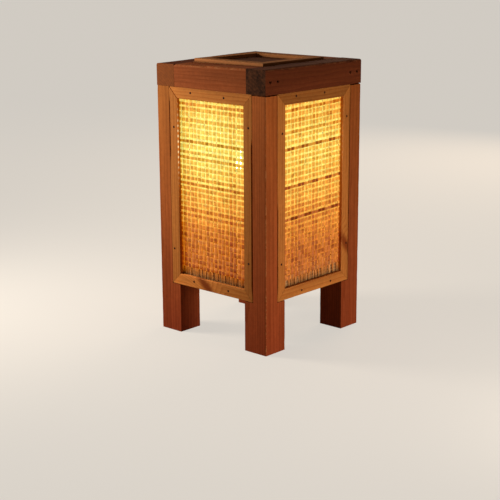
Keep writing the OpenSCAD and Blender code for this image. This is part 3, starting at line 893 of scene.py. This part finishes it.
def glow(across, height, layers, share, slant=0.0):
    """Linear colour of the lamplight that comes through so many layers at a place on a side."""
    far = ((height - GLOW_CENTRE) / GLOW_REACH) ** 2
    strength = share * (GLOW_STRENGTH * (1 + far) ** -1.5 + GLOW_STRAY)
    aside = ((across - BRIGHT_AT) / HALF_OPENING) ** 2
    strength = strength * (1 - SIDE_LOSS * aside * smooth(height, DIM_SIDES_FROM, DIM_SIDES_TO))
    rightward = (across - mat_low.x) / (mat_high.x - mat_low.x)
    strength = strength * (1 - slant * rightward * (1 - smooth(height, DIM_SIDES_FROM, SLANT_TO)))
    strength = strength * smooth(height, BOARD_TOP - SHADE_FROM, BOARD_TOP - SHADE_TO)
    light = strength[:, None] * WARMTH
    light[:, 0] /= np.sqrt(1 + (strength / RED_LIMIT) ** 2)
    light = light * LAYER_PASSES ** (layers[:, None] - 1)
    return np.clip(1 - np.exp(-light) - REFLECTED, 0, 1)


# %% Make one ribbon
# A splint's section as shares of its width and thickness, and how many layers it counts for there
CROWN = [(-0.34, 0.4), (0, 0.5), (0.34, 0.4)]
PROFILE = np.array([(-0.5, 0), *CROWN, (0.5, 0), *[(-x, -y) for x, y in CROWN]])
THIN_EDGE = np.array([0.3, 1, 1, 1, 0.3, 1, 1, 1])
# How far inside a crossing's edge the second layer is whole, and how far outside it is gone
INNER_EDGE, OUTER_EDGE = 0.65 * MM, 0.08 * MM
# A splint has done this share of its rise or dip where it leaves a crossing
LEAVING = 0.38


def ribbon(along, across, lift, partner_width, partner_layers, width, layers, gap_extra, swell=1.0,
           slim=None):
    """Points and layer counts of one splint. The arrays have one entry for each crossing, and gap_extra
    has one for each gap between two. A splint is thin at its edges, so more light comes through there.
    Between crossings it swells a little, and slim tells its share of width at a place."""
    half = partner_width / 2
    start, end = along - half, along + half
    stations, level, behind, full = [], [], [], []
    for k in range(len(along)):
        stations += [start[k] + INNER_EDGE, end[k] - INNER_EDGE]
        level += [lift[k]] * 2
        full += [1, 1]
        behind += [partner_layers[k]] * 2
        if k + 1 < len(along):
            a, b = end[k] + OUTER_EDGE, start[k + 1] - OUTER_EDGE
            a, b = min(a, (a + b) / 2), max(b, (a + b) / 2)
            stations += [a, b]
            rise = (lift[k + 1] - lift[k]) * LEAVING
            level += [lift[k] + rise, lift[k + 1] - rise]
            behind += [gap_extra[k]] * 2
            full += [swell, swell]
    stations, level, behind = np.array(stations), np.array(level), np.array(behind)
    centre = np.interp(stations, along, across)
    share = np.array(full) * (slim(stations) if slim else 1)
    sideways = centre[:, None] + PROFILE[None, :, 0] * width * share[:, None]
    outward = level[:, None] + PROFILE[None, :, 1] * SPLINT_THICK
    lengthways = np.repeat(stations[:, None], len(PROFILE), 1)
    return lengthways, sideways, outward, behind[:, None] + layers * THIN_EDGE[None, :]


# %% Set the splints out on a side
LOW_ROWS = 13
LOW_FROM, LOW_TO, STEEP_TO = 85 * MM, 130 * MM, 135 * MM
# Thicker or darker rows, with how many layers they add
DARK_ROWS = {
    "front": {34: 0.5, 27: 1.0, 25: 0.4, 24: 0.5, 19: 0.5, 13: 0.5},
    "right": {34: 0.5, 30: 0.5, 27: 1.3, 20: 1.4, 14: 1.4},
    "back": {34: 0.5, 30: 0.7, 22: 0.9, 11: 1.0},
    "left": {34: 0.5, 26: 1.0, 17: 0.9, 13: 0.8},
}
DARK_ROW_WIDTH, DARK_ROW_DROP = 3.3 * MM, 0.3 * MM
ROW_TILT = {"front": -0.008, "right": 0.035, "back": 0.02, "left": -0.03}
# How far a thick level splint also darkens the upright that hides it
HIDDEN_SHARE = {"front": 0.8, "right": 0.4, "back": 0.6, "left": 0.6}


def set_out(side, draw):
    """Where the splints of a side lie, how wide they are and how many layers each counts for. No two
    are alike, so each is a little off in all of these."""
    column_at = FIRST_COLUMN + PITCH * np.arange(columns) + draw.normal(0, 0.16 * MM, columns)
    row_at = mat_low.z + (mat_high.z - mat_low.z) / rows * (np.arange(rows) + 0.5)
    row_at = row_at + draw.normal(0, 0.18 * MM, rows)
    column_width = np.clip(draw.normal(COLUMN_WIDTH, 0.2 * MM, columns), 3.8 * MM, 4.7 * MM)
    row_width = np.clip(draw.normal(ROW_WIDTH, 0.25 * MM, rows), 3.3 * MM, 4.4 * MM)
    column_layers = draw.normal(1, 0.13, columns)
    row_layers = draw.normal(1, 0.22, rows)
    row_layers[:LOW_ROWS] = 1 + 0.4 * (row_layers[:LOW_ROWS] - 1)
    for row, extra in DARK_ROWS[side].items():
        row_layers[row] += extra
        row_width[row] = DARK_ROW_WIDTH
        row_at[row] -= DARK_ROW_DROP
    height = row_at[None, :] + ROW_TILT[side] * column_at[:, None]
    height = height + draw.normal(0, 0.1 * MM, height.shape)
    lean = draw.normal(0, 0.0012, columns)[:, None]
    offset = column_at[:, None] + lean * (row_at[None, :] - row_at.mean())
    offset = offset + draw.normal(0, 0.1 * MM, offset.shape)
    over = (np.arange(columns)[:, None] + np.arange(rows)[None, :]) % TWILL < TWILL / 2
    hidden = 1 + HIDDEN_SHARE[side] * (row_layers - 1)
    # Low gaps are seen at a slant and show the splint below, which darkens them
    slanted = 0.7 * (1 - smooth(row_at[:-1], LOW_FROM, STEEP_TO))
    return SimpleNamespace(
        column_width=column_width, row_width=row_width, column_layers=column_layers, row_layers=row_layers,
        height=height, offset=offset, over=over, hidden=hidden, slanted=slanted)


# %% Shape the three kinds of splint
FRINGE_ROWS = 3
FRINGE_TOP, STRAND_TIE = 67.4 * MM, 2 * MM
STRANDS, STRAND_WIDTH, STRAND_LAYERS = 3, 1.12 * MM, 1.25
SWELL = 1.09
# Where the weave has slipped open: from and to which height, and by which share which uprights
OPEN_FROM, OPEN_TO, OPEN_RAMP = 170 * MM, 189 * MM, 4 * MM
OPEN_COLUMNS = {"front": {15: 0.12, 16: 0.16, 17: 0.2}, "back": {5: 0.2, 6: 0.1}, "left": {9: 0.15}}


def upright_splint(side, plan, n):
    """Heights, places across, depths and layers of an upright splint."""
    opened = OPEN_COLUMNS.get(side, {}).get(n, 0)

    def slim(z):
        below = smooth(z, OPEN_FROM - OPEN_RAMP, OPEN_FROM)
        return 1 - opened * below * (1 - smooth(z, OPEN_TO, OPEN_TO + OPEN_RAMP))

    woven = slice(FRINGE_ROWS, None)
    lift = np.where(plan.over[n], LIFT, -LIFT)[woven]
    return ribbon(
        plan.height[n][woven], plan.offset[n][woven], lift, plan.row_width[woven], plan.hidden[woven],
        plan.column_width[n], plan.column_layers[n], plan.slanted[woven], SWELL, slim)


def level_splint(plan, n):
    """Places along, heights, depths and layers of a level splint."""
    lift = np.where(plan.over[:, n], -LIFT, LIFT)
    return ribbon(
        plan.offset[:, n], plan.height[:, n], lift, plan.column_width, plan.column_layers,
        plan.row_width[n], plan.row_layers[n], np.zeros(columns - 1))


def strand(plan, n, draw):
    """Heights, places across, depths and layers of one thin strand of an upright's frayed end."""
    column, place = divmod(n, STRANDS)
    share = (place - (STRANDS - 1) / 2) / STRANDS
    middle = plan.offset[column][FRINGE_ROWS] + share * plan.column_width[column]
    width = STRAND_WIDTH * draw.uniform(0.7, 1.05)
    tip_shift, depth = draw.normal(0, 0.5 * MM), LIFT * draw.uniform(-1, 1)
    foot = mat_low.z
    stations = np.array([foot, (foot + FRINGE_TOP) / 2, FRINGE_TOP - STRAND_TIE, FRINGE_TOP])
    sway = tip_shift * np.array([1, 0.6, 0, 0])
    wide = width * np.array([0.8, 1, 1, 0.9])
    x = middle + sway[:, None] + PROFILE[None, :, 0] * wide[:, None]
    out = depth + PROFILE[None, :, 1] * SPLINT_THICK * np.ones((len(stations), 1))
    return np.repeat(stations[:, None], len(PROFILE), 1), x, out, np.full(x.shape, STRAND_LAYERS)


# %% Weave one mat
LOST_STRANDS = 0.13
STRAND_TONE = (-1.0, 0.4)
LIGHT_SHARE = {"front": 1.0, "right": 0.75, "back": 0.95, "left": 0.9}
LOW_SLANT = {"front": 0.28, "right": 0.0, "back": 0.1, "left": 0.1}
# Low down, the splint in front of a crossing looks brighter than the one behind it. This is painted light
# and shade: the uprights' glow is raised and the level splints' glow lowered
FACE_SHARE, BACK_SHARE = 1.16, 0.9
EVEN_EDGE = 0.3
# A bright spot where the bulb shines straight through: place, reach and gain
HALO = {"front": (36 * MM, 181 * MM, 9 * MM, 0.6)}


def lamplight(side, x, z, layers, face):
    """Linear colour of the lamplight on each point of a splint, with painted light and shade low down."""
    low = 1 - smooth(z, LOW_FROM, LOW_TO)
    layers = layers + EVEN_EDGE * low * (1 - THIN_EDGE)
    # Low down, FACE_SHARE or BACK_SHARE scales the glow as painted light and shade
    share = LIGHT_SHARE[side] * (1 + (face - 1) * low)
    if side in HALO:
        at_x, at_z, reach, gain = HALO[side]
        share = share * (1 + gain * np.exp(-((x - at_x) ** 2 + (z - at_z) ** 2) / reach ** 2))
    return glow(x.ravel(), z.ravel(), layers.ravel(), share.ravel(), LOW_SLANT[side])


def woven_mat(side, turn, seed):
    """All splints of one mat as one mesh, with their grain, tone and glow."""
    draw = np.random.default_rng(seed)
    plan = set_out(side, draw)
    points, faces, grains, tones, glows = [], [], [], [], []
    start = 0
    splints = [("upright", i) for i in range(columns)] + [("level", j) for j in range(FRINGE_ROWS, rows)]
    splints += [("strand", k) for k in range(columns * STRANDS)]
    for kind, n in splints:
        if kind == "upright":
            z, x, out, layers = upright_splint(side, plan, n)
            tone, face = 0.4 * (plan.column_layers[n] - 1) - 0.1, FACE_SHARE
        elif kind == "level":
            x, z, out, layers = level_splint(plan, n)
            tone, face = 0.4 * (plan.row_layers[n] - 1) + 0.1, BACK_SHARE
        elif draw.random() < LOST_STRANDS:
            continue
        else:
            z, x, out, layers = strand(plan, n, draw)
            tone, face = draw.uniform(*STRAND_TONE), 1
        in_splint = [z, out, x] if kind == "level" else [x, out, z]
        points.append(np.stack([x, MAT_MIDDLE_Y - out, z], 2).reshape(-1, 3))
        grains.append(np.stack(in_splint, 2).reshape(-1, 3) / MM + draw.uniform(0, 500, 3))
        tones.append(np.full(x.size, tone + draw.normal(0, 0.12)))
        glows.append(lamplight(side, x, z, layers, face))
        index = start + np.arange(x.size).reshape(x.shape)
        after = np.roll(index, -1, 1)
        faces += np.stack([index[:-1], after[:-1], after[1:], index[1:]], 2).reshape(-1, 4).tolist()
        faces += [index[0][::-1].tolist(), index[-1].tolist()]
        start += x.size
    points = np.concatenate(points)
    points[:, 0] = np.clip(points[:, 0], mat_low.x, mat_high.x)
    round_lamp = np.array([[cos(turn), sin(turn), 0], [-sin(turn), cos(turn), 0], [0, 0, 1]])
    mesh = solid((points @ round_lamp).tolist(), faces)
    mesh.polygons.foreach_set("use_smooth", [True] * len(mesh.polygons))
    write(mesh, "grain", "FLOAT_VECTOR", "POINT", np.concatenate(grains))
    write(mesh, "tone", "FLOAT", "POINT", np.concatenate(tones))
    light = np.concatenate(glows)
    write(mesh, "lamplight", "FLOAT_COLOR", "POINT", np.column_stack([light, np.ones(len(light))]))
    return mesh


# %% [markdown]
# ## Split bamboo
#
# The splints are bamboo, split, shaved flat and left bare. Their face is fine straight fibre, silky and
# gold-brown, with no varnish. It shines very little. Slow stains run across many fibres. The frayed ends
# are paler, because their broken fibres hold air. The lamplight comes through as emission, and the same
# fibres and stains darken it.

# %% Finish the bamboo
# Real bundles of fibre are 0.2 mm wide, finer than the eye can tell from here, so they are drawn wider
BUNDLE_MM, STAIN_MM = 0.9, 3.4


def split_bamboo():
    """Bare split bamboo that lets light through."""
    made, tree, surface = material("split bamboo")
    place = add(tree, "Attribute", {"attribute_name": "grain"}).outputs["Vector"]
    long = add(tree, "VectorMath", {"operation": "MULTIPLY", 1: (1, 1, 0.05)}, {0: place}).outputs[0]
    fibre = add(tree, "TexNoise", {"Scale": 1 / BUNDLE_MM, "Detail": 3, "Roughness": 0.6}, {"Vector": long})
    stain = add(tree, "TexNoise", {"Scale": 1 / STAIN_MM, "Detail": 4}, {"Vector": place})
    fibre, stain = fibre.outputs["Fac"], stain.outputs["Fac"]
    tone = add(tree, "Attribute", {"attribute_name": "tone"}).outputs["Fac"]
    mixed = add(tree, "Math", {"operation": "ADD"}, {0: stain, 1: tone}).outputs[0]
    shade = add(tree, "MapRange", {"From Min": 0.0, "From Max": 1.1}, {"Value": mixed}).outputs[0]
    colour = add(tree, "Mix", COLOURS | {6: paint("#b88650"), 7: paint("#6e4020")}, {0: shade}).outputs[2]
    frayed = add(tree, "MapRange", {"From Min": -0.1, "From Max": -0.6}, {"Value": mixed}).outputs[0]
    colour = add(tree, "Mix", COLOURS | {7: paint("#c29b6a")}, {0: frayed, 6: colour}).outputs[2]
    streak = add(tree, "MapRange", SPAN | {"To Min": 1.2, "To Max": 0.8}, {"Value": fibre}).outputs[0]
    thick = add(tree, "MapRange", SPAN | {"To Min": 1.32, "To Max": 0.68}, {"Value": stain}).outputs[0]
    colour = add(tree, "VectorMath", {"operation": "SCALE"}, {0: colour, "Scale": streak}).outputs[0]
    light = add(tree, "Attribute", {"attribute_name": "lamplight"}).outputs["Color"]
    for share in (streak, thick):
        light = add(tree, "VectorMath", {"operation": "SCALE"}, {0: light, "Scale": share}).outputs[0]
    bump = add(tree, "Bump", {"Strength": 0.4, "Distance": 0.08 * MM}, {"Height": fibre}).outputs[0]
    finish = add(
        tree, "BsdfPrincipled", {"Roughness": 0.8, "Specular IOR Level": BARE_SHINE, "Emission Strength": 1},
        {"Base Color": colour, "Emission Color": light, "Normal": bump})
    tree.links.new(finish.outputs[0], surface)
    made.cycles.emission_sampling = "NONE"
    return made


BAMBOO = split_bamboo()
for count, side in enumerate(SIDES):
    mesh = woven_mat(side, count * pi / 2, seed=70 + count)
    mat = stand_in(f"{side}_twill_mat", mesh, BAMBOO, "frame", "woven_bamboo", f"{side}_woven_mat")
    print(mat.name, len(mesh.vertices), "points")

# %% [markdown]
# ## Metal, glass and plastic
#
# The holder and the bulb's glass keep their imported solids. The tube, its nut and washers, the screws and
# the bulb's cap were turned and rolled from round stock. Each is an outline swung round an axis, and a
# function shapes it on the way: a thread swells along a helix, a nut is cut to six flats with chamfered
# corners, and a screw's head has a cross pressed into it.

# %% Finish the small parts
def grained(name, colour, roughness, spread, grit_mm, relief, metallic=0):
    """A metal or moulded skin. Its grit makes the shine uneven by the two values of spread."""
    made, tree, surface = material(name)
    place = add(tree, "TexCoord").outputs["Object"]
    grit = add(tree, "TexNoise", {"Scale": 1 / grit_mm / MM, "Detail": 3}, {"Vector": place}).outputs["Fac"]
    ends = {"To Min": roughness - spread[0], "To Max": roughness + spread[1]}
    rough = add(tree, "MapRange", ends, {"Value": grit}).outputs[0]
    bump = add(tree, "Bump", {"Strength": relief, "Distance": 0.05 * MM}, {"Height": grit}).outputs[0]
    skin = {"Metallic": metallic, "Base Color": paint(colour)}
    finish = add(tree, "BsdfPrincipled", skin, {"Roughness": rough, "Normal": bump})
    tree.links.new(finish.outputs[0], surface)
    return made


METAL = {"spread": (0.12, 0.15), "grit_mm": 0.4, "relief": 0.2, "metallic": 1}
MOULDED = {"spread": (0.08, 0.1), "grit_mm": 0.6, "relief": 0.15}
# Electroplated and chromated steel: a greyish satin with fine scuffs
ZINC = grained("zinc plated steel", "#a7a39a", 0.35, **METAL)
# Pressed sheet, bare: yellow and smooth, a little dulled by handling
BRASS = grained("brass", "#c79a4a", 0.3, **METAL)
# Rolled sheet brass under nickel: a warm silver, smoother than the zinc
NICKEL = grained("nickel plated brass", "#b7b1a4", 0.3, **METAL)
# A drop of tin alloy that set in the air: grey and dull
SOLDER = grained("solder", "#a5a29a", 0.45, **METAL)
# Hot pressed thermoset: black, with the half gloss of its mould
PHENOLIC = grained("black phenolic", "#1d1a18", 0.4, **MOULDED)
# Glass fused into the foot of the cap: black and glossy
BLACK_GLASS = grained("black fused glass", "#141210", 0.15, **MOULDED)


# %% Light the bulb's glass
CLOUD_MM, POWDER_MM = 3, 0.5
BULB_STRENGTH = 18


def lit_glass():
    """Soft glass with a white powder inside: no filament shows, the whole globe glows, faintly clouded
    where the powder is thinner. Its grains are far too fine to show and are drawn coarser."""
    made, tree, surface = material("pearl glass, lit")
    place = add(tree, "TexCoord").outputs["Object"]
    cloud = add(tree, "TexNoise", {"Scale": 1 / (CLOUD_MM * MM), "Detail": 3}, {"Vector": place})
    powder = add(tree, "TexNoise", {"Scale": 1 / (POWDER_MM * MM)}, {"Vector": place}).outputs["Fac"]
    rough = add(tree, "MapRange", {"To Min": 0.2, "To Max": 0.4}, {"Value": powder}).outputs[0]
    tints = COLOURS | {6: paint("#ffd499"), 7: paint("#ffdfaa")}
    warm = add(tree, "Mix", tints, {0: cloud.outputs["Fac"]}).outputs[2]
    settings = {"Base Color": paint("#fff4e0"), "Emission Strength": BULB_STRENGTH}
    finish = add(tree, "BsdfPrincipled", settings, {"Roughness": rough, "Emission Color": warm})
    tree.links.new(finish.outputs[0], surface)
    return made


# %% Turn round parts
def turned(outline, facets, shape=None, axis=(0, 0)):
    """A closed outline of radius and height in mm, swung round an upright axis. shape may change the
    radius and height at each turn."""
    points, faces = [], []
    for radius, height in outline:
        for k in range(facets):
            turn = 2 * pi * k / facets
            r, z = shape(radius, height, turn) if shape else (radius, height)
            points.append((axis[0] + r * cos(turn) * MM, axis[1] + r * sin(turn) * MM, z * MM))
    for i in range(len(outline)):
        a, b = i * facets, (i + 1) % len(outline) * facets
        faces += [(a + k, a + (k + 1) % facets, b + (k + 1) % facets, b + k) for k in range(facets)]
    return points, faces


def joined(parts):
    """One mesh of several turned parts."""
    points, faces = [], []
    for more_points, more_faces in parts:
        faces += [[i + len(points) for i in face] for face in more_faces]
        points += more_points
    return solid(points, faces)


def thread(root, pitch, rise, low, high):
    """A right-handed thread that swells from its root between two heights and fades out at both."""
    def shape(radius, height, turn):
        if radius < root - 0.01 or not low < height < high:
            return radius, height
        fade = min(1, (height - low) / pitch, (high - height) / pitch)
        return radius + rise * fade * (0.5 + 0.5 * cos(2 * pi * height / pitch - turn)), height
    return shape


def wall(radius, low, high, step):
    """Points up a straight wall, close enough to carry a thread."""
    return [(radius, z) for z in np.arange(low, high, step)]


# %% Make the tube, its nut and washers
def heights(node):
    """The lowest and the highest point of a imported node, in mm."""
    low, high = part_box(node)
    return low.z / MM, high.z / MM


TUBE_MM, BORE_MM, TUBE_PITCH, TUBE_RISE = 5.0, 4.0, 1.0, 0.55
low, high = heights("threaded_tube")
root = TUBE_MM - TUBE_RISE
outline = [(BORE_MM, high), (BORE_MM, low), (root, low)]
outline += wall(root, low + 0.2, high, 0.2) + [(root, high)]
mesh = joined([turned(outline, 32, thread(root, TUBE_PITCH, TUBE_RISE, low, high))])
stand_in("threaded_tube_m10", mesh, ZINC, "frame", "zinced_steel", "threaded_tube")

FLATS_MM, NUT_CORNER_MM = 14.0, 8.08


def six_flats(radius, height, turn):
    """Cuts a round outline back to the six flats of a nut."""
    return min(radius, FLATS_MM / 2 / cos(turn % (pi / 3) - pi / 6)), height


low, high = heights("lock_nut")
half = [(6.9, high), (NUT_CORNER_MM, high - 0.6), (NUT_CORNER_MM, low + 0.6), (6.9, low)]
outline = half + [(TUBE_MM + 0.4, low), (TUBE_MM, low + 0.4), (TUBE_MM, high - 0.4), (TUBE_MM + 0.4, high)]
mesh = joined([turned(outline, 72, six_flats)])
stand_in("chamfered_nut", mesh, ZINC, "frame", "zinced_steel", "lock_nut")

WASHER_MM, WASHER_THICK_MM = 11.0, 1.5
washers = []
for low in (heights("tube_washers")[0], heights("tube_washers")[1] - WASHER_THICK_MM):
    high = low + WASHER_THICK_MM
    outline = [(TUBE_MM, low), (WASHER_MM - 0.15, low), (WASHER_MM, low + 0.2), (WASHER_MM, high - 0.5)]
    outline += [(WASHER_MM - 0.5, high), (TUBE_MM + 0.2, high), (TUBE_MM, high - 0.3)]
    washers.append(turned(outline, 48))
stand_in("stamped_washers", joined(washers), ZINC, "frame", "zinced_steel", "tube_washers")

# %% Make the screws and the bulb's cap
SCREW_MM, SCREW_HEAD_MM, SCREW_PITCH, SCREW_RISE = 1.5, 3.0, 1.3, 0.35
CROSS_REACH, CROSS_MM, CROSS_DEPTH = 2.1, 0.45, 0.8
screw_low, screw_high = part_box("base_screws")
low, high = screw_low.z / MM, screw_high.z / MM
centre_out = screw_high.x / MM - SCREW_HEAD_MM


def cross_and_thread(radius, height, turn):
    """Presses a cross into the head and rolls a thread on the shank."""
    if height > high - 0.25 and radius < CROSS_REACH:
        beside = radius * min(abs(cos(turn)), abs(sin(turn)))
        return radius, height - CROSS_DEPTH * (beside < CROSS_MM)
    return thread(core, SCREW_PITCH, SCREW_RISE, low + 1, high - 2)(radius, height, turn)


core = SCREW_MM - SCREW_RISE
outline = [(0.01, low), (0.5, low + 0.8)] + wall(core, low + 1.6, high - 1.2, 0.25)
outline += [(core, high - 1.2), (SCREW_HEAD_MM, high - 0.5), (SCREW_HEAD_MM, high - 0.3), (2.7, high - 0.1)]
outline += [(r, high) for r in (2.3, 2.05, 1.7, 1.4, 1.1, 0.8, 0.5, 0.2, 0.01)]
screws = [turned(outline, 32, cross_and_thread, on_side(side, 0, centre_out, 0).xy) for side in SIDES]
stand_in("cross_head_screws", joined(screws), ZINC, "frame", "zinced_steel", "base_screws")

CAP_ROOT_MM, CAP_RISE, CAP_PITCH = 6.5, 0.4, 2.8
low, high = heights("bulb_cap")
outline = [(CAP_ROOT_MM - 0.9, low), (CAP_ROOT_MM - 0.3, low), (CAP_ROOT_MM, low + 0.4)]
outline += wall(CAP_ROOT_MM, low + 0.8, high - 0.5, 0.3)
outline += [(CAP_ROOT_MM, high - 0.4), (CAP_ROOT_MM - 0.2, high), (CAP_ROOT_MM - 0.6, high)]
outline += [(CAP_ROOT_MM - 0.6, low + 0.5)]
mesh = joined([turned(outline, 48, thread(CAP_ROOT_MM, CAP_PITCH, CAP_RISE, low + 0.6, high - 4))])
stand_in("rolled_bulb_cap", mesh, NICKEL, "bulb", "nickelled_cap", "bulb_cap")

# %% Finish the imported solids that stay
FINISHES = {
    "lid_brads": BLUED, "holder_body": PHENOLIC, "holder_sleeve": BRASS, "holder_contact": BRASS,
    "bulb_glass": lit_glass(), "bulb_foot": BLACK_GLASS, "bulb_tip": SOLDER,
}
for node, finish in FINISHES.items():
    data = frame["nodes"][node].data
    data.materials.clear()
    data.materials.append(finish)

# %% Print the visual size
low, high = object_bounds()
print("visual box in mm", [round(v / MM, 2) for v in high - low])
